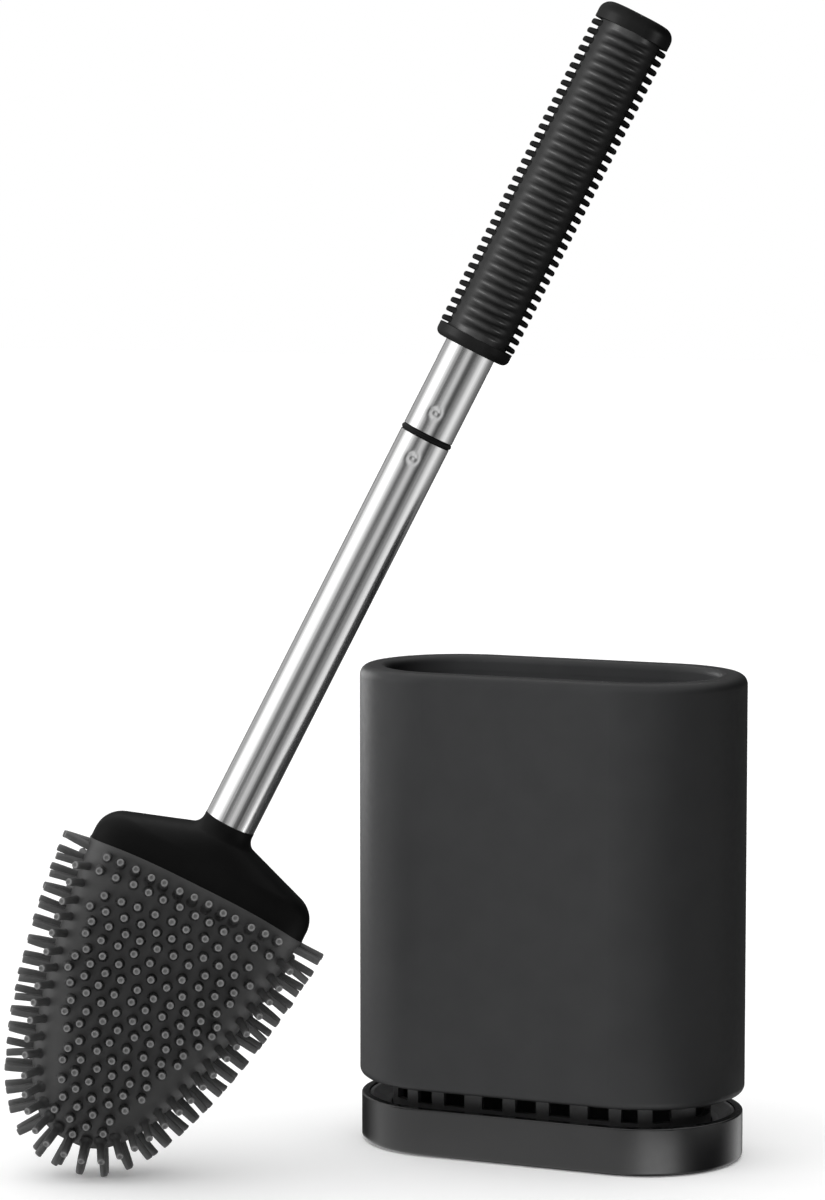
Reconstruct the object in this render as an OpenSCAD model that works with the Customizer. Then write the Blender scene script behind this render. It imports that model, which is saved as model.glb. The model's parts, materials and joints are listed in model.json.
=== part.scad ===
// Toilet brush set: an oval cup on a vented drip tray, and a two-piece brush that stands
// beside it with its silicone head on the floor. Millimetres.
// Origin: centre of the tray's underside, on the floor. +X runs along the holder's long side,
// -Y is its front and +Z is up.

/* [Holder] */
// Length of the straight middle that every oval shares
straight = 62; // [50:1:70]
// Radius of the tray's round ends
tray_r = 31.35; // [30:0.05:33]
// Height of the tray
tray_h = 15; // [14:0.5:18]
// Radius of the cup's round ends
cup_r = 31.9; // [30.5:0.05:33]
// Height of the cup's underside above the floor
cup_z = 20.5; // [20:0.5:24]
// Height of the cup's lip above the floor
lip_z = 152; // [140:1:180]
// Width of the rolled lip
lip_w = 8.45; // [7:0.05:9]

/* [Brush place] */
// Where the tip of the brush head stands, along X
stand_x = -124.9; // [-180:0.1:-110]
// Where the tip of the brush head stands, along Y
stand_y = -97.2; // [-150:0.1:-80]
// Lean of the handle from the vertical
lean = 26.9; // [0:0.1:30]
// Direction of the lean, turned from +X towards +Y
lean_to = 23.2; // [0:0.1:40]

/* [Brush] */
// Length of the silicone head, bristles included
head_len = 95.9; // [90:0.1:100]
// Width of the silicone head, bristles included
head_w = 87; // [80:1:92]
// Thickness of the silicone head, bristles included
head_t = 40; // [36:1:42]
// Diameter of the steel tubes
tube_d = 16; // [15:0.5:17]
// Distance from the head's tip to the joint in the handle
joint_z = 250.3; // [230:0.1:270]
// Distance from the head's tip to the grip
grip_z = 280.4; // [275:0.1:300]
// Length of the grip
grip_len = 111.8; // [100:0.1:120]
// Number of fins down each side of the grip
fins = 35; // [20:1:36]

/* [Hidden] */
$fn = 96;
// Side clearance between pieces that lift apart
gap = 0.3;

// Tray and drip insert
tray_wall = 2.4;
tray_floor = 2.2;
insert_r = tray_r - tray_wall - gap;
insert_rim = 14.4;
insert_wall = 1.6;
well_r = 22;
well_floor = 4;

// Vent ring
ring_r = well_r - 2 * gap;
ring_wall = 2;
ring_sunk = 2.2;
window_z = 14.4;
window_h = cup_z - window_z;
// Windows in the straight sides: their places along X, and their width
window_spots = [-24.15, -11.25, 0, 11.25, 24.15];
window_w = 7;
// Windows round an end, as [angle from the long axis, width]
end_windows = [[-81, 5.2], [-53.5, 6.2], [0, 14.5], [53.5, 6.2], [81, 5.2]];

// Cup
cup_wall = 2.6;
cup_floor = cup_z + 4.5;
lip_t = 4.6;
liner_r = cup_r - lip_w + 0.95;
liner_wall = 1.6;
slot_pitch = 20;
slot_size = [5, 18];

// Neck
tube_r = tube_d / 2;
neck_w = 72;
neck_t = 24.4;
neck_side = 3.5;
shoulder_r = 8.5;
shoulder_slope = 19;
fillet_r = 4;
neck_collar = 1.2;
spigot_len = 22;
paddle = [44, 10, 52];
// As [half width, rise]: centre and end of the shoulder's corner arc, and centre of the fillet
// under the tube
shoulder_at = [neck_w / 2 - shoulder_r, neck_side];
shoulder_end = shoulder_at + shoulder_r * [sin(shoulder_slope), cos(shoulder_slope)];
fillet_x = tube_r + 0.1 + fillet_r;
neck_rise = shoulder_end[1] + (shoulder_end[0] - fillet_x) * tan(shoulder_slope)
    + fillet_r / cos(shoulder_slope);

// Handle
tube_wall = 0.6;
plug_r = tube_r - tube_wall - 0.05;
plug_len = 23;
thread_r = 5;
thread_pitch = 1.5;
thread_turns = 9;
thread_clear = 0.05;
seam_t = 1.8;
face_gap = 0.03;
dimple_r = 3.4;
dimple_depth = 0.45;
dimple_offset = 6.7;
dimple_turn = -8;
grip_r = 9.75;
ridge_r = 10.15;
fin_r = 12.25;
end_reach = 12;
fin_half_w = 3.2;
fin_share = 0.53;
collar_len = 4;
cap_len = 6;

lower_z = head_len + neck_rise + neck_collar;
upper_z = joint_z + seam_t;
stud_len = thread_turns * thread_pitch + 1;

// ---- shared shapes ----

// The waste outside a rounded corner of a profile. Quarter 0 is up and out, then anticlockwise.
module corner_waste(at, r, quarter)
    translate(at) rotate(90 * quarter) translate([-r, -r]) difference() {
        square(r + 1);
        circle(r);
    }

// Runs a half profile, drawn in x >= 0, round an oval: two turned ends and two straight sides
module oval(middle = straight) {
    for (side = [0, 1]) {
        mirror([side, 0, 0]) translate([middle / 2, 0, 0]) rotate([0, 0, -90])
            rotate_extrude(angle = 180) children();
        mirror([0, side, 0]) translate([-middle / 2, 0, 0]) rotate([90, 0, 90])
            linear_extrude(middle) children();
    }
}

// Points on an arc, from angle a0 to a1
function arc(centre, r, a0, a1, steps) =
    [for (i = [0:steps]) let(a = a0 + (a1 - a0) * i / steps) centre + r * [cos(a), sin(a)]];

// A cross-section at height z with half width a and half thickness b: an ellipse at power 2,
// squarer above
function section(a, b, z, power, sides = 48) = [
    for (i = [0:sides - 1])
        let(c = cos(360 * i / sides), s = sin(360 * i / sides))
            [a * sign(c) * pow(abs(c), 2 / power), b * sign(s) * pow(abs(s), 2 / power), z]
];

// A skin over cross-sections that all have as many points
module loft(sections) {
    n = len(sections[0]);
    top = len(sections) - 1;
    walls = [
        for (j = [0:top - 1], i = [0:n - 1])
            let(a = j * n + i, b = j * n + (i + 1) % n) each [[a, b + n, b], [a, a + n, b + n]]
    ];
    floor_face = [[for (i = [0:n - 1]) i]];
    roof_face = [[for (i = [0:n - 1]) top * n + n - 1 - i]];
    polyhedron([for (s = sections) each s], concat(floor_face, walls, roof_face));
}

// ---- holder ----

module tray() {
    color("#3a3b3d") oval() difference() {
        union() {
            square([tray_r, tray_floor]);
            translate([tray_r - tray_wall, 0]) square([tray_wall, tray_h]);
        }
        corner_waste([tray_r, 0], 1.5, 3);
        corner_waste([tray_r, tray_h], 0.6, 0);
    }
}

// A dish that drops into the tray: a sloping rim and a well that the vent ring stands in
module drip_insert() {
    slope = [[insert_r - 1.1, insert_rim], [25.6, 13], [23.8, 11.9], [well_r, 11.3]];
    underside = [[well_r + insert_wall, 9.8], [25.3, 10.8], [26.9, 12.2], [insert_r, 12.8]];
    color("#303133") oval() polygon(concat(
        [[0, tray_floor], [well_r + insert_wall, tray_floor]],
        underside,
        [[insert_r, insert_rim]],
        slope,
        [[well_r, well_floor], [0, well_floor]]
    ));
}

// The windowed skirt that the cup stands on, with its top edge set in a groove under the cup
module vent_ring() {
    color("#252627") difference() {
        oval() translate([ring_r - ring_wall, well_floor])
            square([ring_wall, cup_z + ring_sunk - well_floor]);
        translate([0, 0, window_z + window_h / 2]) {
            for (x = window_spots)
                translate([x, 0, 0]) cube([window_w, 2 * cup_r, window_h], center = true);
            for (side = [0, 1], window = end_windows)
                mirror([side, 0, 0]) translate([straight / 2, 0, 0])
                    rotate([0, 0, window[0]]) translate([ring_r, 0, 0])
                        cube([4 * ring_wall, window[1], window_h], center = true);
        }
    }
}

module cup_shell() {
    color("#343536") difference() {
        oval() difference() {
            union() {
                translate([0, cup_z]) square([cup_r, cup_floor - cup_z]);
                translate([cup_r - cup_wall, cup_z]) square([cup_wall, lip_z - cup_z]);
                translate([cup_r - lip_w, lip_z - lip_t]) square([lip_w, lip_t]);
            }
            translate([ring_r - ring_wall - face_gap, cup_z - 1])
                square([ring_wall + 2 * face_gap, ring_sunk + 1 + face_gap]);
            corner_waste([cup_r, cup_z], 2.5, 3);
            corner_waste([cup_r, lip_z], 3.2, 0);
            corner_waste([cup_r - lip_w, lip_z], 2, 1);
        }
        for (i = [-2:2])
            translate([i * slot_pitch, 0, cup_z])
                cube([slot_size[0], slot_size[1], 3 * (cup_floor - cup_z)], center = true);
    }
}

// The inner wall of the double-walled cup, held between its floor and its lip
module cup_liner()
    color("#2c2d2e") oval() translate([liner_r, cup_floor])
        square([liner_wall, lip_z - lip_t - cup_floor]);

// ---- brush, drawn upright with its tip at the origin ----

// Half width of the bristle head at a height, a rounded tongue that widens towards the neck
function head_half(z, w, length) = w / 2 * pow(1 - pow(1 - z / length, 1.3), 0.38);

// Half thickness of the bristle head at a height
function head_half_t(z) = 5 + (head_t / 2 - 5) * pow(1 - pow(1 - z / head_len, 3), 0.5);

function head_sections(count = 26) = [
    for (i = [0:count])
        let(z = head_len * pow(max(i, 0.6) / count, 2), z0 = i == 0 ? 0 : z)
            section(head_half(z, head_w, head_len), head_half_t(z), z0, 2.6)
];

// The neck's silhouette from its wide foot to the tube, as [half width, rise]
neck_outline = concat(
    [[neck_w / 2, 0]],
    arc(shoulder_at, shoulder_r, 0, 90 - shoulder_slope, 8),
    arc([fillet_x, neck_rise], fillet_r, 270 - shoulder_slope, 180, 6),
    [[tube_r + 0.1, neck_rise + neck_collar]]
);

// The neck's squareness and thickness ease from the head's at the foot to the tube's circle at the top
function neck_share(p) = (p[0] - tube_r) / (neck_w / 2 - tube_r);
function neck_section(p) =
    let(half_t = tube_r + (neck_t / 2 - tube_r) * sqrt(neck_share(p)))
        section(p[0], half_t, head_len + p[1], 2 + 0.6 * neck_share(p));

// The lowest corner of the leaning head, which rests on the floor
sink = min([for (s = head_sections(), p = s) p[2] * cos(lean) - p[0] * sin(lean)]);

// Leans the upright brush and stands it in its place
module standing()
    translate([stand_x, stand_y, -sink]) rotate([0, 0, lean_to]) rotate([0, lean, 0]) children();

// The flat tongue of the neck, which fills the pocket in the sleeve
module neck_paddle(top)
    translate([0, 0, top - paddle[2]]) rotate([90, 0, 0]) translate([0, 0, -paddle[1] / 2])
        linear_extrude(paddle[1]) {
            translate([0, paddle[0] / 2]) circle(paddle[0] / 2);
            translate([-paddle[0] / 2, paddle[0] / 2]) square([paddle[0], paddle[2] - paddle[0] / 2]);
        }

module neck() {
    color("#1b1b1c") standing() {
        loft([for (p = neck_outline) neck_section(p)]);
        neck_paddle(head_len);
        translate([0, 0, lower_z - 1]) cylinder(h = spigot_len + 1, r = plug_r);
    }
}

// The outer form of the silicone head, with its bristles taken as one soft solid
module bristle_sleeve() {
    color("#4b4c4e") standing() difference() {
        loft(head_sections());
        neck_paddle(head_len + 0.01);
    }
}

// A steel tube with one crimp dimple in its front
module steel_tube(z0, z1, dimple_z) {
    color("#c9cbcd") standing() difference() {
        translate([0, 0, z0]) cylinder(h = z1 - z0, r = tube_r);
        translate([0, 0, z0 - 1]) cylinder(h = z1 - z0 + 2, r = tube_r - tube_wall);
        rotate([0, 0, dimple_turn]) translate([0, -tube_r - dimple_r + dimple_depth, dimple_z])
            sphere(dimple_r);
    }
}

module lower_tube() steel_tube(lower_z, joint_z, joint_z - dimple_offset);

module upper_tube() steel_tube(upper_z + face_gap, grip_z + grip_len - cap_len, upper_z + dimple_offset);

// The threaded socket crimped into the top of the lower tube
module socket_insert() {
    color("#202122") standing() difference() {
        translate([0, 0, joint_z - plug_len]) cylinder(h = plug_len - face_gap, r = plug_r);
        translate([0, 0, joint_z - stud_len - 1]) cylinder(h = stud_len + 2, r = thread_r + thread_clear);
    }
}

// The black ring that closes the joint between the two tubes
module seam_ring() {
    color("#151515") standing() translate([0, 0, joint_z + face_gap]) difference() {
        cylinder(h = seam_t - face_gap, r = tube_r + 0.2);
        translate([0, 0, -1]) cylinder(h = seam_t + 2, r = thread_r + thread_clear);
    }
}

// The screw that joins the tubes: a plug crimped into the upper tube and a stud with its thread
// drawn as rings
module stud_insert() {
    root_r = thread_r - 0.9;
    tooth = [[root_r, 0], [thread_r, 0.55], [thread_r, 0.75], [root_r, 1.3]];
    color("#8f9194") standing() {
        translate([0, 0, upper_z + face_gap]) cylinder(h = plug_len, r = plug_r);
        translate([0, 0, joint_z - stud_len]) rotate_extrude() {
            square([root_r, stud_len + seam_t + 2 * face_gap]);
            for (i = [0:thread_turns - 1])
                translate([0, 0.4 + i * thread_pitch]) polygon(tooth);
        }
    }
}

// The comb of teeth along the grip as a half profile, out to a reach from the axis
module fin_comb(reach) {
    span = grip_len - collar_len - cap_len;
    pitch = span / fins;
    for (i = [0:fins - 1])
        translate([grip_r - 1, collar_len + (i + (1 - fin_share) / 2) * pitch])
            square([reach - grip_r + 1, pitch * fin_share]);
}

module grip_sleeve() {
    end_r = grip_r + 0.2;
    end_middle = 2 * (end_reach - end_r);
    color("#1d1d1e") standing() translate([0, 0, grip_z]) difference() {
        union() {
            rotate_extrude() {
                square([grip_r, grip_len]);
                fin_comb(ridge_r);
            }
            intersection() {
                rotate_extrude() fin_comb(fin_r);
                translate([-fin_r, -fin_half_w, 0]) cube([2 * fin_r, 2 * fin_half_w, grip_len]);
            }
            oval(end_middle) difference() {
                square([end_r, collar_len]);
                corner_waste([end_r, 0], 2, 3);
            }
            translate([0, 0, grip_len - cap_len]) oval(end_middle) difference() {
                square([end_r, cap_len]);
                corner_waste([end_r, cap_len], 3.6, 0);
            }
        }
        translate([0, 0, -1]) cylinder(h = grip_len - cap_len + 1, r = tube_r);
    }
}

tray();
drip_insert();
vent_ring();
cup_shell();
cup_liner();
neck();
bristle_sleeve();
lower_tube();
socket_insert();
seam_ring();
stud_insert();
upper_tube();
grip_sleeve();
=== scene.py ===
"""Looks for the toilet brush set: an oval cup on a vented tray, and the brush standing beside it.

The CAD meshes of the holder are kept and only get their finishes. The brush's visible pieces are
modelled again here in full detail, in millimetres up the brush's own axis, and replace their CAD nodes.
"""

import json
import math
import random

import bpy
from mathutils import Matrix, Vector


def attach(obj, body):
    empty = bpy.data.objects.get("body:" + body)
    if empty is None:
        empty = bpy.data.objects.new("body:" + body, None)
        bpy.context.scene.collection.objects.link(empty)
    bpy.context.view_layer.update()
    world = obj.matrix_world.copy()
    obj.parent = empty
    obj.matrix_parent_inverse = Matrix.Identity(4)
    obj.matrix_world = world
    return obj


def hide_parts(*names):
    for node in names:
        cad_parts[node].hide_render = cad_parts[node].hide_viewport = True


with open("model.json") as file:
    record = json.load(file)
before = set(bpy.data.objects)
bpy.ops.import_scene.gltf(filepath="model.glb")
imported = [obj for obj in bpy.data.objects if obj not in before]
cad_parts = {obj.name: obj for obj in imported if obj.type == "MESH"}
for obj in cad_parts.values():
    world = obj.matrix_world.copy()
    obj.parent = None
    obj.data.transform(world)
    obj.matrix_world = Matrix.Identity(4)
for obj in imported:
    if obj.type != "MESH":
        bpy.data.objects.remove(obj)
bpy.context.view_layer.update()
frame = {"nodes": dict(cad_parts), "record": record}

MM = 0.001

# The brush's axis: where the head's tip stands, and how the handle leans
TIP = Vector((-124.9, -97.2, 3.211))
LEAN = math.radians(26.9)
LEAN_TO = math.radians(23.2)

# Heights up the brush from the head's tip
CORE_FOOT = 8.4
HEAD_TOP = 95.9
JOINT = 250.3
SEAM_TOP = 252.1
GRIP_FOOT = 280.4
GRIP_TOP = 392.2
FACE_GAP = 0.03

# How finely round and oval rings are divided
ROUND_SIDES = 96
OVAL_SIDES = 128
SHARP_ANGLE = math.radians(38)

# Silicone head
CORE_W = 71.0
CORE_T = 24.0
CORE_POWER = 2.6
# How the core's width and thickness grow from its tip, as two powers each
WIDTH_GROWTH = (1.3, 0.38)
THICKNESS_GROWTH = (3, 0.5)
CORE_RINGS = 56
RANDOM_SEED = 7
# Each ring of the sleeve's edge, as distance out from the neck's foot, height, and whether it rises
LIP_PROFILE = [
    (-0.6, -3.0, 0), (0.05, -0.4, 0), (0.18, -0.2, 1), (0.1, 0.0, 1), (-0.4, 0.0, 1), (-1.2, -3.0, 0),
]
# Rise of the sleeve's edge over the neck's foot, at the sides and in the middle of a face
LIP_RISE = (0.4, 3.5)

# Bristles, whose width along the stem is a share of their radius
ROD_R = 1.2
ROD_SIDES = 14
ROD_FOOT = [(-0.6, 1.7), (0.0, 1.5), (0.5, 1.16), (1.2, 1.03)]
ROD_TAPER = 0.03
# The rounded end and its dimple, as distance below the tip and width
ROD_END = [(0.35, 0.95), (0.12, 0.88), (0.0, 0.72), (0.02, 0.56), (0.16, 0.42), (0.22, 0.2)]
# A direction that no bristle points in
ASKEW = (0.31, 0.22, 0.92)

# Bristles on the faces
FACE_ROD = 8.0
FACE_ROWS = 17
FACE_ROW_PITCH = 4.62
FACE_FIRST_ROW = 8.7
FACE_PITCH = 5.35
FACE_INSET = 6.6
# The rows' bow at the tip and at the neck, their extra inset at the tip, and the heights between
# which each changes
FACE_BOW = (0.012, -0.004)
BOW_HEIGHTS = (20, 85)
TIP_INSET = 2.4
INSET_HEIGHTS = (20, 50)
# The two rows at the neck, as number, pitch and height above the head's top
TOP_ROWS = [(13, 4.74, 1.3), (12, 5.13, -3.6)]
TOP_BOW = 0.0018
ROD_TILT = 0.15
ROD_SPREAD = 0.1

# Stacks of bristles round the rim, where two point straight out and two lean to the faces: how deep
# their feet are, and how far from the middle plane
RIM_ROD = 8.4
RIM_STACKS = 37
RIM_PITCH = 5.5
RIM_STEPS = 2000
OUTER_DEPTH = 1.4
OUTER_PLANE = 2.3
LEANING_ROD = 8.8
LEANING_DEPTH = 2.6
LEANING_PLANE = 5.4
LEANING_OUT = 0.52

# Neck
NECK_HALF_W = 36.0
NECK_HALF_T = 12.2
NECK_SIDE = 3.5
NECK_COLLAR = 1.2
SHOULDER_R = 8.5
SHOULDER_SLOPE = math.radians(19)
FILLET_R = 4.0
NECK_SPACING = 1.2

# Handle
TUBE_R = 8.0
TUBE_BORE = 7.4
TUBE_RIM = 0.12
DIMPLE_R = 1.9
DIMPLE_DEPTH = 0.5
DIMPLE_FALL = 1.6
DIMPLE_TURN = math.radians(-8)
BOSS_HEIGHT = 0.22
BOSS_SHARE = 0.34
# The finer mesh round a dimple: degrees and millimetres each way from it, and their steps
FINE_TURN = 27
FINE_TURN_STEP = 1.5
FINE_RISE_STEPS = 22
FINE_RISE_STEP = 0.2
PLAIN_TURNS = 64
PLAIN_LEVELS = 24
# The height of each tube's dimple
DIMPLES = {"lower": JOINT - 6.7, "upper": SEAM_TOP + 6.7}

# The stud that joins the tubes, and the ring between them
PLUG_R = 7.35
PLUG_LEN = 23.0
THREAD_R = 5.0
THREAD_BORE = 5.05
THREAD_PITCH = 1.5
THREAD_DEPTH = 0.9
STUD_LEN = 14.5
STUD_CHAMFER = 1.3
STUD_RINGS = 150
STUD_SIDES = 72
PLUG_CHAMFER = 0.3

# Grip
GRIP_R = 9.75
END_REACH = 12.0
FIN_HALF_W = 3.2
FINS = 35
COLLAR = 4.0
CAP = 6.0
FIN_PITCH = (GRIP_TOP - GRIP_FOOT - COLLAR - CAP) / FINS
FIN_HALF_T = 0.3 * FIN_PITCH
FIN_SIDES = 28
# A fin's profile, as distance out from the core and width as a share of its own
FIN_PROFILE = [
    (-1.4, 1.35), (-0.5, 1.2), (0.0, 1.1), (1.0, 1.02), (1.8, 0.95), (2.2, 0.84), (2.4, 0.6), (2.48, 0.25),
]
FIN_DROOP = 0.1
CORE_OVERLAP = 1.0
CORE_SIDES = 120
RINGS_PER_RIDGE = 14
RIDGE_RISE = 0.17
GROOVE_DEPTH = 0.55
# Where the ridges fade out round the core, as the cosine of the turn from a side, and where the
# grooves between them do near each end, in ridges from it
RIDGE_FADE = (0.42, 0.88)
GROOVE_FADE = (0.35, 0.6)
COLLAR_ROUND = 2.0
CAP_ROUND = 3.6
# Tint of the core's smooth sides, between 0 in a groove and 1 on a crest, where the tint paints shade into
# the grooves and a sheen onto the crests
SIDE_PAINTED_SHEEN = 0.4

# View of the photograph, and the studio that turns with it
VIEW_YAW = math.radians(23.224)
VIEW_PITCH = math.radians(5.658)
VIEW_DISTANCE = 1277.7
VIEW_SHIFT = (-43.7, 172.7)
VIEW_LENS = 120.81
VIEW_SENSOR = 36.0
# Level directions: to the view's right, and from the object towards the camera
RIGHT = Vector((math.cos(VIEW_YAW), math.sin(VIEW_YAW), 0))
TOWARD = Vector((math.sin(VIEW_YAW), -math.cos(VIEW_YAW), 0))


# ---- meshes ----


class Shape:
    """Points and faces of one mesh, in millimetres, with a tint from 0 to 1 at each point."""

    def __init__(self):
        self.points = []
        self.faces = []
        self.tints = []

    def ring(self, points, tint=0.0):
        """Adds a ring of points, with one tint or a list of them, and returns their numbers."""
        first = len(self.points)
        self.points += [tuple(p) for p in points]
        self.tints += tint if isinstance(tint, list) else [tint] * len(points)
        return range(first, len(self.points))

    def skin(self, low, high):
        """Joins two rings of as many points. Rings run anticlockwise seen from above."""
        n = len(low)
        for i in range(n):
            j = (i + 1) % n
            self.faces.append((low[i], low[j], high[j], high[i]))

    def loft(self, rings, closed=False, tints=None):
        """A skin over rings of points, shut at both ends unless it closes on itself."""
        tints = tints or [0.0] * len(rings)
        made = [self.ring(r, t) for r, t in zip(rings, tints)]
        for low, high in zip(made, made[1:]):
            self.skin(low, high)
        if closed:
            self.skin(made[-1], made[0])
        else:
            self.faces.append(tuple(reversed(made[0])))
            self.faces.append(tuple(made[-1]))


def piece(name, shape, body, material, node):
    """A mesh object made from a shape on the brush's axis. It rides on a body and replaces a CAD node."""
    turn = Matrix.Rotation(LEAN_TO, 3, "Z") @ Matrix.Rotation(LEAN, 3, "Y")
    mesh = bpy.data.meshes.new(name)
    mesh.from_pydata([(TIP + turn @ Vector(p)) * MM for p in shape.points], [], shape.faces)
    tint = mesh.attributes.new("tint", "FLOAT", "POINT")
    tint.data.foreach_set("value", shape.tints)
    mesh.shade_smooth()
    mesh.set_sharp_from_angle(angle=SHARP_ANGLE)
    mesh.materials.append(material)
    obj = bpy.data.objects.new(name, mesh)
    bpy.context.scene.collection.objects.link(obj)
    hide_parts(node)
    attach(obj, body)
    return obj


def angles(count):
    """Evenly spaced turns of a full circle."""
    return [2 * math.pi * i / count for i in range(count)]


def superellipse(a, b, z, power):
    """A level ring: an ellipse at power 2 and squarer above it."""
    ring = []
    for t in angles(OVAL_SIDES):
        c, s = math.cos(t), math.sin(t)
        x = math.copysign(a * abs(c) ** (2 / power), c)
        y = math.copysign(b * abs(s) ** (2 / power), s)
        ring.append((x, y, z))
    return ring


def circle(r, z):
    """A level round ring."""
    return [(r * math.cos(t), r * math.sin(t), z) for t in angles(ROUND_SIDES)]


def stadium(r, middle, z):
    """A level ring round two half circles of radius r whose centres are `middle` apart along x."""
    half = middle / 2
    return [(x + math.copysign(half, x), y, z) for x, y, z in circle(r, z)]


def arc(cx, cy, r, start, end, steps):
    """Points on an arc in a profile, with angles in radians."""
    return [
        (cx + r * math.cos(a), cy + r * math.sin(a))
        for a in (start + (end - start) * i / steps for i in range(steps + 1))
    ]


def smoothstep(low, high, x):
    """A smooth rise from 0 at a low value to 1 at a high one."""
    t = min(1.0, max(0.0, (x - low) / (high - low)))
    return t * t * (3 - 2 * t)


# ---- silicone head ----


def grown(growth, z):
    """Share of its full size that the head's core has at a height."""
    inner, outer = growth
    below_top = 1 - (z - CORE_FOOT) / (HEAD_TOP - CORE_FOOT)
    return (1 - below_top**inner) ** outer


def core_half_w(z):
    """Half the width of the head's core at a height."""
    return CORE_W / 2 * grown(WIDTH_GROWTH, z)


def core_half_t(z):
    """Half the thickness of the head's core at a height."""
    return CORE_T / 2 * grown(THICKNESS_GROWTH, z)


def core_depth(x, z):
    """How far in front of the middle plane the core's face lies."""
    share = min(1.0, abs(x) / core_half_w(z))
    return core_half_t(z) * (1 - share**CORE_POWER) ** (1 / CORE_POWER)


def rod(shape, base, direction, length, bend=(0, 0, 0), painted_stem_sheen=0.0):
    """A silicone bristle: a flared foot, a slightly bent stem and a rounded end with a dimple."""
    along = Vector(direction).normalized()
    side = along.cross(ASKEW).normalized()
    other = along.cross(side)
    stem = [(length * k / 5, 1.0 - ROD_TAPER * k / 5) for k in range(2, 5)]
    end = [(length - below, width) for below, width in ROD_END]
    turns = angles(ROD_SIDES)
    rings, tints = [], []
    for height, width in ROD_FOOT + stem + end:
        share = max(0.0, height / length)
        centre = Vector(base) + along * height + Vector(bend) * share**2
        r = ROD_R * width
        rings.append([centre + side * (r * math.cos(t)) + other * (r * math.sin(t)) for t in turns])
        # The end takes the paler grey, fully on its rounded rim as a painted highlight and half in its
        # dimple as painted shade; the stem takes its painted sheen
        at_end = smoothstep(length - 0.45, length - 0.1, height)
        end_tint = 1.0 if width > 0.5 else 0.5
        tints.append(painted_stem_sheen * smoothstep(0.5, 3.0, height) * (1 - at_end) + end_tint * at_end)
    shape.loft(rings, tints=tints)


def jitter(rng, most):
    """A random number up to a size either way."""
    return rng.uniform(-most, most)


def face_rod(shape, x, z, rng):
    """A pair of bristles whose ends stand at a place on the front and on the back."""
    x += jitter(rng, 0.35)
    z += jitter(rng, 0.3)
    foot_z = min(z - FACE_ROD * ROD_TILT, HEAD_TOP - 1.5)
    for face in (-1, 1):
        base = (x, face * core_depth(x, foot_z), foot_z)
        bend = (jitter(rng, 0.25), 0, jitter(rng, 0.25))
        direction = (ROD_SPREAD * x / CORE_W, face, (z - foot_z) / FACE_ROD)
        rod(shape, base, direction, FACE_ROD, bend)


def face_rods(shape, rng):
    """Two nearly level rows at the neck, then staggered rows that bow down in the middle nearer the tip."""
    for count, pitch, above_top in TOP_ROWS:
        for k in range(count):
            x = (k - (count - 1) / 2) * pitch
            face_rod(shape, x, HEAD_TOP + above_top - TOP_BOW * x * x, rng)
    tip_bow, neck_bow = FACE_BOW
    for row in range(FACE_ROWS):
        middle_z = HEAD_TOP - FACE_FIRST_ROW - row * FACE_ROW_PITCH
        bow = tip_bow + (neck_bow - tip_bow) * smoothstep(*BOW_HEIGHTS, middle_z)
        stagger = 0.0 if row % 3 == 1 else 0.5
        inset = FACE_INSET + TIP_INSET * (1 - smoothstep(*INSET_HEIGHTS, middle_z))
        for k in range(-6, 6):
            x = (k + stagger) * FACE_PITCH
            z = middle_z + bow * x * x
            if abs(x) < core_half_w(z) - inset:
                face_rod(shape, x, z, rng)


def rim_points():
    """Evenly spaced stations up the core's outline: place and outward direction in the middle plane."""
    heights = [CORE_FOOT + (HEAD_TOP - CORE_FOOT) * (i / RIM_STEPS) ** 2 for i in range(RIM_STEPS + 1)]
    line = [(core_half_w(z), z) for z in heights]
    stations, run, wanted = [], 0.0, 0.0
    for (x0, z0), (x1, z1) in zip(line, line[1:]):
        step = math.hypot(x1 - x0, z1 - z0)
        while run + step >= wanted and len(stations) <= RIM_STACKS // 2:
            share = (wanted - run) / step
            place = (x0 + (x1 - x0) * share, z0 + (z1 - z0) * share)
            outward = ((z1 - z0) / step, -(x1 - x0) / step) if wanted else (0.0, -1.0)
            stations.append((place, outward))
            wanted += RIM_PITCH
        run += step
    return stations


def rim_rods(shape, rng):
    """Stacks of four bristles round the edge: two straight out and one leaning to each face.

    The last stack, at the neck, has only the two that point straight out.
    """
    for number, ((x, z), (nx, nz)) in enumerate(rim_points()):
        at_neck = number == RIM_STACKS // 2
        for side in (-1, 1) if number else (1,):
            out = Vector((side * nx, 0, nz))
            along = Vector((-nz * side, 0, nx))
            edge = Vector((side * x, 0, z))
            for face in (-1, 1):
                base = edge - out * OUTER_DEPTH + along * (0.35 * face) + Vector((0, OUTER_PLANE * face, 0))
                lean = out + along * jitter(rng, 0.07) + Vector((0, 0.05 * face, 0))
                reach = RIM_ROD + 0.3 * face + jitter(rng, 0.2)
                # The outward bristles' stems get a painted sheen of a fifth of the ends' paler grey
                rod(shape, base, lean, reach + OUTER_DEPTH, along * jitter(rng, 0.6), painted_stem_sheen=0.2)
                if at_neck:
                    continue
                base = edge - out * LEANING_DEPTH + Vector((0, LEANING_PLANE * face, 0))
                lean = out * LEANING_OUT + Vector((0, face, 0)) + along * jitter(rng, 0.08)
                # The leaning bristles' stems get a painted sheen of a tenth of the ends' paler grey
                rod(shape, base, lean, LEANING_ROD, along * jitter(rng, 0.3), painted_stem_sheen=0.1)


def lip_rise(x):
    """How far the sleeve's edge rises over the neck's foot at a distance from its middle."""
    side, middle = LIP_RISE
    return side + (middle - side) * (1 - min(1.0, abs(x) / NECK_HALF_W) ** 3)


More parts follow.
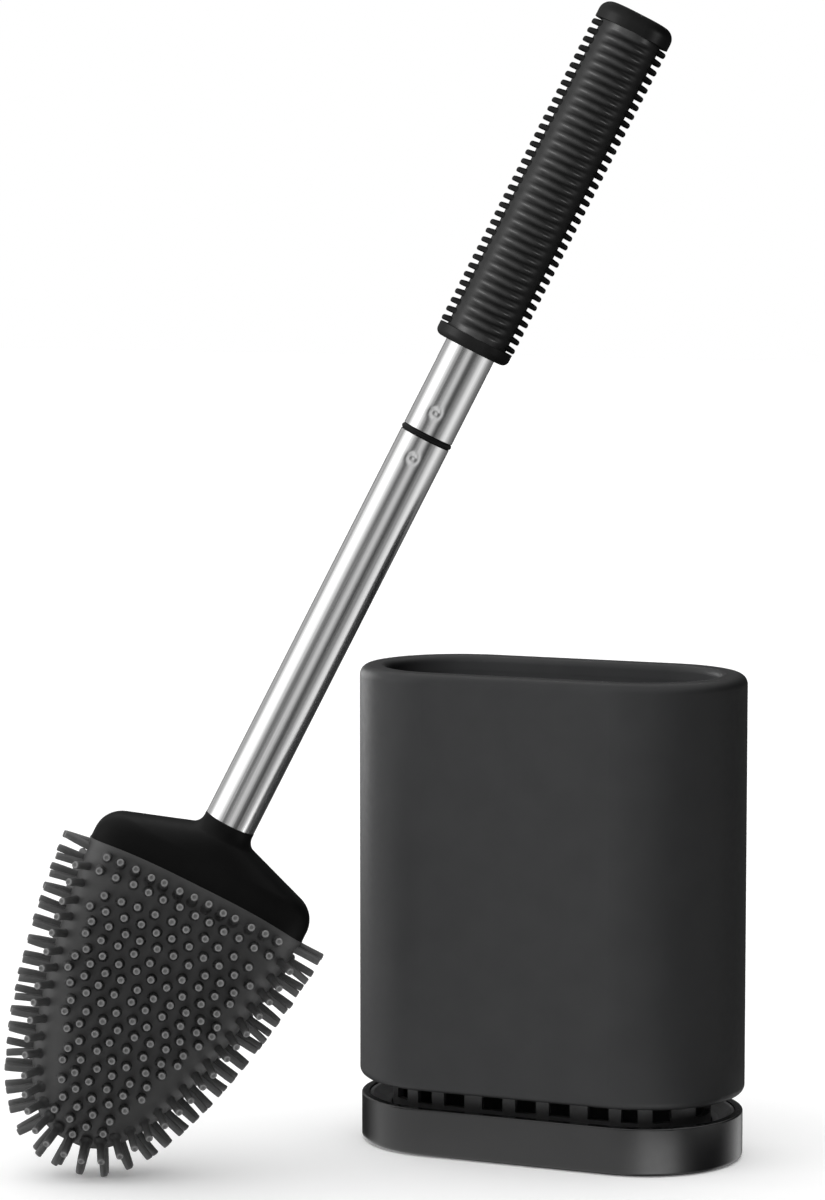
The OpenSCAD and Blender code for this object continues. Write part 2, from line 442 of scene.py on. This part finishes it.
def sleeve_lip(shape):
    """The sleeve's thin edge, which laps over the neck's foot and rises in the middle of each face."""
    rings = []
    for out, height, follows in LIP_PROFILE:
        ring = superellipse(NECK_HALF_W + out, NECK_HALF_T + out, HEAD_TOP + height, CORE_POWER)
        rings.append([(x, y, z + follows * lip_rise(x)) for x, y, z in ring])
    shape.loft(rings, closed=True)


def silicone_head(material):
    """The whole sleeve: its domed core, its edge at the neck and all its bristles."""
    shape = Shape()
    rings = []
    for i in range(CORE_RINGS + 1):
        z = CORE_FOOT + (HEAD_TOP - CORE_FOOT) * (max(i, 0.4) / CORE_RINGS) ** 2
        rings.append(superellipse(core_half_w(z), core_half_t(z), z, CORE_POWER))
    shape.loft(rings)
    sleeve_lip(shape)
    rng = random.Random(RANDOM_SEED)
    face_rods(shape, rng)
    rim_rods(shape, rng)
    return piece("silicone_head", shape, "brush", material, "bristle_sleeve")


# ---- neck and handle ----


def neck_outline():
    """Half width and rise of the neck's outline, from its wide foot to the tube."""
    cx, cz = NECK_HALF_W - SHOULDER_R, NECK_SIDE
    end_x = cx + SHOULDER_R * math.sin(SHOULDER_SLOPE)
    end_z = cz + SHOULDER_R * math.cos(SHOULDER_SLOPE)
    fx = TUBE_R + 0.1 + FILLET_R
    rise = end_z + (end_x - fx) * math.tan(SHOULDER_SLOPE) + FILLET_R / math.cos(SHOULDER_SLOPE)
    quarter = math.pi / 2
    outline = [(NECK_HALF_W - 0.35, 0.0), (NECK_HALF_W - 0.1, 0.12), (NECK_HALF_W, 0.4)]
    outline += arc(cx, cz, SHOULDER_R, 0, quarter - SHOULDER_SLOPE, 28)
    outline += arc(fx, rise, FILLET_R, 3 * quarter - SHOULDER_SLOPE, 2 * quarter, 18)
    outline += [(TUBE_R + 0.1, rise + NECK_COLLAR - 0.2), (TUBE_R - 0.1, rise + NECK_COLLAR)]
    return outline


def neck(material):
    """The neck, flat and oval at its foot and round where it meets the tube."""
    outline = neck_outline()
    spaced = []
    for (x0, z0), (x1, z1) in zip(outline, outline[1:]):
        parts = max(1, round(math.hypot(x1 - x0, z1 - z0) / NECK_SPACING))
        spaced += [(x0 + (x1 - x0) * i / parts, z0 + (z1 - z0) * i / parts) for i in range(parts)]
    spaced.append(outline[-1])
    rings = []
    for x, rise in spaced:
        share = max(0.0, (x - TUBE_R) / (NECK_HALF_W - TUBE_R))
        half_t = TUBE_R + (NECK_HALF_T - TUBE_R) * share**0.5
        rings.append(superellipse(x, half_t, HEAD_TOP + rise, 2 + (CORE_POWER - 2) * share))
    shape = Shape()
    shape.loft(rings)
    return piece("neck_shell", shape, "brush", material, "neck")


def dimple(across, up):
    """Depth of the crimp at a distance from its middle: a smooth dish round a low boss."""
    away = math.hypot(across, up) / DIMPLE_R
    boss = BOSS_HEIGHT * math.exp(-((away / BOSS_SHARE) ** 2))
    return DIMPLE_DEPTH * math.exp(-(away**2) * DIMPLE_FALL) - boss


def tube(name, node, body, foot, top, dimple_z, material):
    """A thin-walled tube whose mesh is finer round the crimp in its front."""
    front = -math.pi / 2 + DIMPLE_TURN
    reach = round(FINE_TURN / FINE_TURN_STEP)
    near = [FINE_TURN_STEP * k for k in range(-reach, reach + 1)]
    far = [FINE_TURN + (360 - 2 * FINE_TURN) * k / PLAIN_TURNS for k in range(1, PLAIN_TURNS)]
    turns = [front + math.radians(t) for t in near + far]
    fine = [dimple_z + FINE_RISE_STEP * k for k in range(-FINE_RISE_STEPS, FINE_RISE_STEPS + 1)]
    plain = [foot + (top - foot) / PLAIN_LEVELS * k for k in range(1, PLAIN_LEVELS)]
    plain = [z for z in plain if abs(z - dimple_z) > 5]
    rings = []
    for z in sorted({foot, foot + TUBE_RIM, top - TUBE_RIM, top, *fine, *plain}):
        rim = TUBE_RIM if z in (foot, top) else 0.0
        ring = []
        for t in turns:
            across = TUBE_R * (t - front)
            r = TUBE_R - rim
            if across < 4 * DIMPLE_R:
                r -= dimple(across, z - dimple_z)
            ring.append((r * math.cos(t), r * math.sin(t), z))
        rings.append(ring)
    bore = [[(TUBE_BORE * math.cos(t), TUBE_BORE * math.sin(t), z) for t in turns] for z in (top, foot)]
    shape = Shape()
    shape.loft(rings + bore, closed=True)
    return piece(name, shape, body, material, node)


def seam_ring(material):
    """The ring between the tubes, bored for the stud and rounded outside."""
    foot, top = JOINT + FACE_GAP, SEAM_TOP
    middle = (foot + top) / 2
    outer = arc(TUBE_R - 0.65, middle, (top - foot) / 2, -math.pi / 2, math.pi / 2, 16)
    profile = [(THREAD_BORE, foot), *outer, (THREAD_BORE, top)]
    shape = Shape()
    shape.loft([circle(r, z) for r, z in profile], closed=True)
    return piece("seam_seal", shape, "seam", material, "seam_ring")


def thread_radius(t, z):
    """Radius of the stud's right-hand thread at a turn and a height."""
    phase = (z / THREAD_PITCH - t / (2 * math.pi)) % 1.0
    flank = abs(phase - 0.5) * 2
    return THREAD_R - THREAD_DEPTH * (1 - smoothstep(0.15, 0.85, flank))


def stud(material):
    """The screw that joins the tubes, with a true helix, and the plug that holds it."""
    shape = Shape()
    foot, top = JOINT - STUD_LEN, SEAM_TOP + FACE_GAP
    rings = []
    for i in range(STUD_RINGS + 1):
        z = foot + (top - foot) * i / STUD_RINGS
        chamfer = THREAD_DEPTH * (1 - smoothstep(0.0, STUD_CHAMFER, z - foot))
        ring = []
        for t in angles(STUD_SIDES):
            r = thread_radius(t, z) - chamfer
            ring.append((r * math.cos(t), r * math.sin(t), z))
        rings.append(ring)
    shape.loft(rings)
    plug = [(PLUG_R - PLUG_CHAMFER, top), (PLUG_R, top + PLUG_CHAMFER), (PLUG_R, top + PLUG_LEN)]
    shape.loft([circle(r, z) for r, z in plug])
    return piece("screw_stud", shape, "upper_rod", material, "stud_insert")


# ---- grip ----


def grip_core(shape):
    """The grip's round core, with soft ridges across its front and back only, painted paler on their crests
    as a painted sheen and darker in their grooves as painted shade.
    """
    foot, top = GRIP_FOOT + COLLAR - CORE_OVERLAP, GRIP_TOP - CAP + CORE_OVERLAP
    steps = FINS * RINGS_PER_RIDGE
    made = []
    for i in range(steps + 1):
        z = foot + (top - foot) * i / steps
        along = (z - GRIP_FOOT - COLLAR) / FIN_PITCH
        inside = smoothstep(*GROOVE_FADE, along) * smoothstep(*GROOVE_FADE, FINS - along)
        groove = inside * (0.5 + 0.5 * math.cos(2 * math.pi * along))
        ring, tints = [], []
        for t in angles(CORE_SIDES):
            ridged = 1 - smoothstep(*RIDGE_FADE, abs(math.cos(t)))
            r = GRIP_R + ridged * (RIDGE_RISE - GROOVE_DEPTH * groove)
            ring.append((r * math.cos(t), r * math.sin(t), z))
            # The tint paints shade into the grooves and a sheen onto the crests, with a share between on
            # the smooth sides
            tints.append(SIDE_PAINTED_SHEEN + ridged * (1 - SIDE_PAINTED_SHEEN - groove))
        made.append(shape.ring(ring, tints))
    for low, high in zip(made, made[1:]):
        shape.skin(low, high)


def grip_fin(shape, side, z):
    """One tooth of the comb down a side: tapered, rounded at its edges and drooping a little."""
    rings = []
    for out, width in FIN_PROFILE:
        half_w = (FIN_HALF_W + 0.25 - 0.2 * out) * min(1.0, 0.55 + width / 2)
        half_t = FIN_HALF_T * width
        droop = FIN_DROOP * max(0.0, out)
        ring = []
        for t in angles(FIN_SIDES):
            c, s = math.cos(t), math.sin(t)
            y = math.copysign(abs(c) ** 0.55, c) * half_w
            up = math.copysign(abs(s) ** 0.7, s) * half_t
            ring.append((side * (GRIP_R - 0.03 + out), -side * y, z + up - droop))
        rings.append(ring)
    shape.loft(rings)


def grip_ends(shape):
    """The oval collar at the grip's foot and the rounded oval cap on its top."""
    end_r = GRIP_R + 0.2
    middle = 2 * (END_REACH - end_r)
    quarter = math.pi / 2
    collar = arc(end_r - COLLAR_ROUND, GRIP_FOOT + COLLAR_ROUND, COLLAR_ROUND, -quarter, 0, 10)
    collar += [(end_r, GRIP_FOOT + COLLAR - 0.1), (end_r - 0.1, GRIP_FOOT + COLLAR)]
    shape.loft([stadium(r, middle, z) for r, z in collar])
    cap = [(end_r - 0.1, GRIP_TOP - CAP), (end_r, GRIP_TOP - CAP + 0.1)]
    cap += arc(end_r - CAP_ROUND, GRIP_TOP - CAP_ROUND, CAP_ROUND, 0, quarter, 14)
    shape.loft([stadium(r, middle, z) for r, z in cap])


def grip(core_material, comb_material):
    """The grip as two pieces: its ridged core, and its ends with the combs between them."""
    core, comb = Shape(), Shape()
    grip_core(core)
    grip_ends(comb)
    for i in range(FINS):
        for side in (-1, 1):
            grip_fin(comb, side, GRIP_FOOT + COLLAR + (i + 0.5) * FIN_PITCH)
    return [
        piece("grip_core", core, "upper_rod", core_material, "grip_sleeve"),
        piece("grip_comb", comb, "upper_rod", comb_material, "grip_sleeve"),
    ]


# ---- finishes ----


# The values that nearly all of a noise texture lies between, and a narrower pair for mottled tones
NOISE_REACH = (0.3, 0.7)
MOTTLE_REACH = (0.35, 0.65)
GRAIN_SCALE = 2600


def new_material(name):
    """A material, its node tree and its Principled shader."""
    material = bpy.data.materials.new(name)
    material.use_nodes = True
    tree = material.node_tree
    return material, tree, tree.nodes["Principled BSDF"]


def noise(tree, scale, detail=3.0, stretch=None):
    """A noise texture in the piece's own coordinates, or stretched along the leaning brush's axes."""
    coords = tree.nodes.new("ShaderNodeTexCoord")
    texture = tree.nodes.new("ShaderNodeTexNoise")
    texture.inputs["Scale"].default_value = scale
    texture.inputs["Detail"].default_value = detail
    source = coords.outputs["Object"]
    if stretch:
        mapping = tree.nodes.new("ShaderNodeMapping")
        mapping.vector_type = "TEXTURE"
        mapping.inputs["Rotation"].default_value = (0.0, LEAN, LEAN_TO)
        mapping.inputs["Scale"].default_value = stretch
        tree.links.new(source, mapping.inputs["Vector"])
        source = mapping.outputs["Vector"]
    tree.links.new(source, texture.inputs["Vector"])
    return texture.outputs["Fac"]


def ramp(tree, factor, stops):
    """A colour ramp with a grey or a colour at each position."""
    node = tree.nodes.new("ShaderNodeValToRGB")
    elements = node.color_ramp.elements
    while len(elements) < len(stops):
        elements.new(0.5)
    for element, (place, value) in zip(elements, stops):
        element.position = place
        element.color = (*value, 1.0) if isinstance(value, tuple) else (value, value, value, 1.0)
    tree.links.new(factor, node.inputs["Fac"])
    return node.outputs["Color"]


def between(tree, texture, low, high, reach=NOISE_REACH):
    """A tone that wanders between two as a noise texture does."""
    return ramp(tree, texture, list(zip(reach, (low, high))))


def span(tree, texture, low, high):
    """A number that wanders between two as a noise texture does."""
    node = tree.nodes.new("ShaderNodeMapRange")
    names = ("From Min", "From Max", "To Min", "To Max")
    for name, value in zip(names, (*NOISE_REACH, low, high)):
        node.inputs[name].default_value = value
    tree.links.new(texture, node.inputs["Value"])
    return node.outputs["Result"]


def mixed(tree, factor, a, b):
    """A colour mixed from two colour sockets."""
    node = tree.nodes.new("ShaderNodeMix")
    node.data_type = "RGBA"
    tree.links.new(factor, node.inputs["Factor"])
    tree.links.new(a, node.inputs["A"])
    tree.links.new(b, node.inputs["B"])
    return node.outputs["Result"]


def bump(tree, shader, height, distance_mm):
    """Gives a shader the fine relief of a texture."""
    node = tree.nodes.new("ShaderNodeBump")
    node.inputs["Strength"].default_value = 1.0
    node.inputs["Distance"].default_value = distance_mm * MM
    tree.links.new(height, node.inputs["Height"])
    tree.links.new(node.outputs["Normal"], shader.inputs["Normal"])


def moulded(name, dark, light, rough, grain_mm, specular=0.5):
    """A moulded plastic or rubber: a faintly mottled tone, an uneven sheen and a fine grain."""
    material, tree, shader = new_material(name)
    tone = between(tree, noise(tree, 90), dark, light, MOTTLE_REACH)
    tree.links.new(tone, shader.inputs["Base Color"])
    tree.links.new(span(tree, noise(tree, 400), *rough), shader.inputs["Roughness"])
    shader.inputs["Specular IOR Level"].default_value = specular
    bump(tree, shader, noise(tree, GRAIN_SCALE, 2.0), grain_mm)
    return material


def tray_plastic():
    """Glossy black plastic."""
    dark, light = (0.0062, 0.0063, 0.0066), (0.0078, 0.0079, 0.0082)
    return moulded("tray_plastic", dark, light, rough=(0.22, 0.27), grain_mm=0.0012)


def insert_plastic():
    """Dark grey plastic with a satin surface."""
    dark, light = (0.043, 0.043, 0.0438), (0.053, 0.053, 0.054)
    return moulded("insert_plastic", dark, light, rough=(0.36, 0.44), grain_mm=0.006)


def cup_plastic():
    """Black plastic with a soft matt surface."""
    dark, light = (0.0068, 0.0069, 0.0071), (0.0074, 0.0075, 0.0077)
    return moulded("cup_plastic", dark, light, rough=(0.45, 0.5), grain_mm=0.01, specular=0.18)


def neck_plastic():
    """Deep black matt plastic."""
    return moulded("neck_plastic", 0.0028, 0.0037, rough=(0.44, 0.5), grain_mm=0.003, specular=0.08)


def seal_rubber():
    """Black rubber of the ring between the tubes."""
    return moulded("seal_rubber", 0.003, 0.0045, rough=(0.42, 0.5), grain_mm=0.006, specular=0.12)


def comb_rubber():
    """The grip's black rubber where it is smooth: its fins and its ends."""
    return moulded("comb_rubber", 0.003, 0.0039, rough=(0.36, 0.42), grain_mm=0.003, specular=0.01)


def tint_of(tree):
    """The tint that a piece's points carry."""
    node = tree.nodes.new("ShaderNodeAttribute")
    node.attribute_name = "tint"
    return node.outputs["Fac"]


def grip_rubber():
    """Black rubber painted near black in its grooves as painted shade and paler on the crests of its ridges
    as a painted sheen, rougher in the grooves than on the crests.
    """
    material, tree, shader = new_material("grip_rubber")
    shade_to_sheen = tint_of(tree)
    # Painted shade for the grooves and a painted sheen for the crests, mixed by the tint
    groove_shade = between(tree, noise(tree, 300), 0.0005, 0.0008, MOTTLE_REACH)
    crest = between(tree, noise(tree, 300), 0.0105, 0.0128, MOTTLE_REACH)
    tree.links.new(mixed(tree, shade_to_sheen, groove_shade, crest), shader.inputs["Base Color"])
    tree.links.new(ramp(tree, shade_to_sheen, [(0.0, 0.6), (0.5, 0.42), (1.0, 0.33)]), shader.inputs["Roughness"])
    shader.inputs["Specular IOR Level"].default_value = 0.025
    bump(tree, shader, noise(tree, GRAIN_SCALE, 2.0), 0.003)
    return material


def silicone():
    """Grey silicone whose bristle ends are paler than their stems, with a painted highlight on each end's
    rim, painted shade in its dimple, and a painted sheen on the rim bristles' stems.
    """
    material, tree, shader = new_material("silicone")
    body = between(tree, noise(tree, 120), 0.044, 0.054, MOTTLE_REACH)
    tips = between(tree, noise(tree, 700), 0.14, 0.19, MOTTLE_REACH)
    # The tint mixes in the ends' paler grey: a painted highlight on the ends' rims, painted shade in their
    # dimples, and a painted sheen on the rim bristles' stems
    tree.links.new(mixed(tree, tint_of(tree), body, tips), shader.inputs["Base Color"])
    tree.links.new(span(tree, noise(tree, 500), 0.42, 0.52), shader.inputs["Roughness"])
    shader.inputs["Specular IOR Level"].default_value = 0.45
    bump(tree, shader, noise(tree, 1800, 2.0), 0.01)
    return material


def steel():
    """Satin steel tube, drawn along its length."""
    material, tree, shader = new_material("steel")
    streaks = noise(tree, 1.0, 4.0, stretch=(0.0004, 0.0004, 0.055))
    tree.links.new(between(tree, streaks, 0.62, 0.72), shader.inputs["Base Color"])
    tree.links.new(span(tree, streaks, 0.16, 0.25), shader.inputs["Roughness"])
    shader.inputs["Metallic"].default_value = 1.0
    bump(tree, shader, streaks, 0.004)
    return material


def stud_metal():
    """Turned metal with fine rings round it."""
    material, tree, shader = new_material("stud_metal")
    rings = noise(tree, 1.0, 3.0, stretch=(0.017, 0.017, 0.0002))
    tree.links.new(between(tree, rings, 0.46, 0.58), shader.inputs["Base Color"])
    tree.links.new(span(tree, rings, 0.26, 0.38), shader.inputs["Roughness"])
    shader.inputs["Metallic"].default_value = 1.0
    return material


# ---- studio ----


# Brightness of the studio round the horizon, as radiance at a turn in degrees, which is 0 on the
# camera's side and 90 on its right: above the horizon, below it where only glossy rays look, and on
# the band sunk in the floor round the holder
ABOVE = [
    (-180, 0.05), (-160, 0.2), (-145, 0.6), (-118, 0.5), (-108, 1.1), (-98, 1.6), (-80, 2.2), (-64, 1.8),
    (-54, 1.15), (-46, 0.75), (-38, 0.4), (-30, 0.14), (-24, 0.13), (-14, 0.32), (-8, 0.75), (3, 0.85),
    (9, 0.45), (15, 0.15), (26, 0.05), (150, 0.04), (180, 0.04),
]
BELOW = [
    (-180, 0.03), (-140, 0.05), (-125, 0.4), (-110, 1.25), (-95, 1.2), (-45, 1.1), (-30, 0.9), (-16, 0.5),
    (-8, 0.75), (3, 0.85), (9, 0.45), (15, 0.14), (26, 0.05), (38, 0.3), (51, 0.4), (59, 0.85), (66, 1.0),
    (82, 1.2), (90, 0.9), (100, 0.6), (120, 0.26), (135, 0.2), (150, 0.15), (165, 0.05), (180, 0.03),
]
SUNK = [
    (-180, 0.2), (-135, 0.5), (-118, 0.9), (-107, 1.25), (-66, 1.25), (-45, 1.15), (-23, 1.2), (-11, 1.7),
    (1, 3.0), (13, 3.2), (25, 2.5), (37, 0.7), (49, 0.15), (62, 0.03), (76, 0.03), (86, 0.12), (98, 0.5),
    (110, 1.0), (122, 1.2), (132, 0.9), (142, 0.2), (155, 0.05), (180, 0.02),
]
PEAK = 3.2
OVERHEAD = 1.5
# Where the studio changes, as shares of the way up from straight down to straight up
HORIZON = (0.46, 0.5)
ZENITH = (0.73, 0.88)

WHITE = (1.0, 1.0, 1.0, 1.0)
FLOOR_SIZE = 12.0
FLOOR_Z = -0.0002
FLOOR_GLOW = 0.14
BAND_R = 0.098
BAND_H = 0.09
BAND_AT = (0.031, 0.0, -0.047)

# What the lamps are aimed at, in millimetres
GRIP_MIDDLE = Vector((15, -40, 300))
CUP_MIDDLE = Vector((0, 0, 90))


def dot(tree, source, direction):
    """The dot product of a vector socket and a direction."""
    node = tree.nodes.new("ShaderNodeVectorMath")
    node.operation = "DOT_PRODUCT"
    node.inputs[1].default_value = direction
    tree.links.new(source, node.inputs[0])
    return node.outputs["Value"]


def maths(tree, operation, a, b):
    """A maths node on two values, each a socket or a number."""
    node = tree.nodes.new("ShaderNodeMath")
    node.operation = operation
    for socket, value in zip(node.inputs, (a, b)):
        if isinstance(value, (int, float)):
            socket.default_value = value
        else:
            tree.links.new(value, socket)
    return node.outputs["Value"]


def round_the_horizon(tree, vector):
    """A direction's turn as a share: 0.5 on the camera's side, 0.75 on its right, 0 and 1 far behind."""
    turn = maths(tree, "ARCTAN2", dot(tree, vector, RIGHT), dot(tree, vector, TOWARD))
    return maths(tree, "ADD", maths(tree, "DIVIDE", turn, 2 * math.pi), 0.5)


def brightness(tree, place, stops):
    """The studio's brightness at a turn, as a share of its peak."""
    return ramp(tree, place, [(degrees / 360 + 0.5, radiance / PEAK) for degrees, radiance in stops])


def floor():
    """A plain white floor, which glows a little to keep shadows pale and doesn't show in reflections."""
    material, tree, shader = new_material("floor_white")
    tree.links.new(between(tree, noise(tree, 2.0), 0.93, 0.95), shader.inputs["Base Color"])
    shader.inputs["Roughness"].default_value = 1.0
    shader.inputs["Specular IOR Level"].default_value = 0.0
    shader.inputs["Emission Color"].default_value = WHITE
    shader.inputs["Emission Strength"].default_value = FLOOR_GLOW
    bpy.ops.mesh.primitive_plane_add(size=FLOOR_SIZE, location=(0.0, 0.0, FLOOR_Z))
    plane = bpy.context.object
    plane.name = "floor"
    plane.data.materials.append(material)
    plane.visible_glossy = False


def sunk_band():
    """A band of light sunk in the floor round the holder, which shows only in glossy reflections."""
    material, tree, shader = new_material("sunk_band")
    tree.nodes.remove(shader)
    light = tree.nodes.new("ShaderNodeEmission")
    place = round_the_horizon(tree, tree.nodes.new("ShaderNodeTexCoord").outputs["Object"])
    tree.links.new(brightness(tree, place, SUNK), light.inputs["Color"])
    light.inputs["Strength"].default_value = PEAK
    tree.links.new(light.outputs["Emission"], tree.nodes["Material Output"].inputs["Surface"])
    material.cycles.emission_sampling = "NONE"
    bpy.ops.mesh.primitive_cylinder_add(
        vertices=ROUND_SIDES, radius=BAND_R, depth=BAND_H, end_fill_type="NOTHING", location=BAND_AT
    )
    band = bpy.context.object
    band.name = "sunk_band"
    band.data.materials.append(material)


def studio():
    """A light tent whose brightness changes round the horizon, bright overhead and white to the camera."""
    world = bpy.data.worlds.new("studio")
    bpy.context.scene.world = world
    world.use_nodes = True
    world.cycles.sampling_method = "NONE"
    tree = world.node_tree
    background = tree.nodes["Background"]
    direction = tree.nodes.new("ShaderNodeTexCoord").outputs["Generated"]
    place = round_the_horizon(tree, direction)
    height = maths(tree, "ADD", dot(tree, direction, (0, 0, 0.5)), 0.5)
    sides = mixed(
        tree,
        between(tree, height, 0.0, 1.0, HORIZON),
        brightness(tree, place, BELOW),
        brightness(tree, place, ABOVE),
    )
    top = tree.nodes.new("ShaderNodeRGB").outputs["Color"]
    top.default_value = (OVERHEAD / PEAK, OVERHEAD / PEAK, OVERHEAD / PEAK, 1.0)
    tent = mixed(tree, between(tree, height, 0.0, 1.0, ZENITH), sides, top)
    tree.links.new(tent, background.inputs["Color"])
    background.inputs["Strength"].default_value = PEAK
    seen = tree.nodes.new("ShaderNodeBackground")
    seen.inputs["Color"].default_value = WHITE
    rays = tree.nodes.new("ShaderNodeLightPath")
    either = tree.nodes.new("ShaderNodeMixShader")
    tree.links.new(rays.outputs["Is Camera Ray"], either.inputs["Fac"])
    tree.links.new(background.outputs["Background"], either.inputs[1])
    tree.links.new(seen.outputs["Background"], either.inputs[2])
    tree.links.new(either.outputs["Shader"], tree.nodes["World Output"].inputs["Surface"])


def lamp_on(receivers, name, turn, height, size, watts, target):
    """A soft lamp for only some objects, a metre from its target at a turn and a height in degrees."""
    turn, height = math.radians(turn), math.radians(height)
    away = (RIGHT * math.sin(turn) + TOWARD * math.cos(turn)) * math.cos(height)
    away += Vector((0, 0, math.sin(height)))
    data = bpy.data.lights.new(name, "AREA")
    data.energy = watts
    data.size = size
    lamp = bpy.data.objects.new(name, data)
    bpy.context.scene.collection.objects.link(lamp)
    aim = away.to_track_quat("Z", "Y").to_matrix().to_4x4()
    lamp.matrix_world = Matrix.Translation(target * MM + away) @ aim
    lit = bpy.data.collections.new(name + "_lit")
    for obj in receivers:
        lit.objects.link(obj)
    lamp.light_linking.receiver_collection = lit
    lamp.visible_camera = False
    return lamp


def lamps(grip_pieces, cup_nodes, base_nodes):
    """The lamps of the grip and of the holder, and the one behind each that brings out its back."""
    lamp_on(grip_pieces, "grip_key", -62, 18, 0.7, 80, GRIP_MIDDLE)
    lamp_on(grip_pieces, "grip_glint", 60, -6, 0.4, 38, GRIP_MIDDLE).visible_diffuse = False
    lamp_on(cup_nodes, "cup_rim", -138, 8, 0.5, 3.5, CUP_MIDDLE)
    cup_key = lamp_on(cup_nodes, "cup_key", -42, 15, 0.6, 41, CUP_MIDDLE)
    cup_key.visible_glossy = False
    cup_key.data.use_shadow = False
    lamp_on(grip_pieces, "grip_back", 180, 22, 0.7, 60, GRIP_MIDDLE).visible_glossy = False
    holder_back = lamp_on(cup_nodes + base_nodes, "holder_back", 180, 22, 0.7, 32, CUP_MIDDLE)
    holder_back.visible_glossy = False


def camera():
    """The photograph's view."""
    level = math.cos(VIEW_PITCH)
    back = Vector((math.sin(VIEW_YAW) * level, -math.cos(VIEW_YAW) * level, math.sin(VIEW_PITCH)))
    up = back.cross(RIGHT)
    data = bpy.data.cameras.new("view")
    data.lens = VIEW_LENS
    data.sensor_width = VIEW_SENSOR
    data.clip_start = 0.05
    obj = bpy.data.objects.new("view", data)
    bpy.context.scene.collection.objects.link(obj)
    turn = Matrix((RIGHT, up, back)).transposed().to_4x4()
    place = (back * VIEW_DISTANCE + RIGHT * VIEW_SHIFT[0] + up * VIEW_SHIFT[1]) * MM
    obj.matrix_world = Matrix.Translation(place) @ turn
    bpy.context.scene.camera = obj


# ---- the scene ----

# A finish for each material slot, with the slot's name
FINISHES = {
    "tray_plastic": tray_plastic(),
    "insert_plastic": insert_plastic(),
    "cup_plastic": cup_plastic(),
    "neck_plastic": neck_plastic(),
    "silicone": silicone(),
    "steel": steel(),
    "stud_metal": stud_metal(),
    "seal_rubber": seal_rubber(),
    "grip_rubber": grip_rubber(),
}

for subpart in frame["record"]["subparts"]:
    mesh = frame["nodes"][subpart["node"]].data
    mesh.materials.clear()
    mesh.materials.append(FINISHES[subpart["material_slot"]])

silicone_head(FINISHES["silicone"])
neck(FINISHES["neck_plastic"])
lower_foot, lower_top = HEAD_TOP + neck_outline()[-1][1], JOINT
upper_foot, upper_top = SEAM_TOP + FACE_GAP, GRIP_TOP - CAP
tube("lower_steel", "lower_tube", "brush", lower_foot, lower_top, DIMPLES["lower"], FINISHES["steel"])
tube("upper_steel", "upper_tube", "upper_rod", upper_foot, upper_top, DIMPLES["upper"], FINISHES["steel"])
seam_ring(FINISHES["seal_rubber"])
stud(FINISHES["stud_metal"])
grip_pieces = grip(FINISHES["grip_rubber"], comb_rubber())
cup_nodes = [frame["nodes"][name] for name in ("cup_shell", "cup_liner")]
base_nodes = [frame["nodes"][name] for name in ("tray", "drip_insert", "vent_ring")]

floor()
sunk_band()
studio()
lamps(grip_pieces, cup_nodes, base_nodes)
camera()
bpy.context.scene.view_settings.view_transform = "Standard"
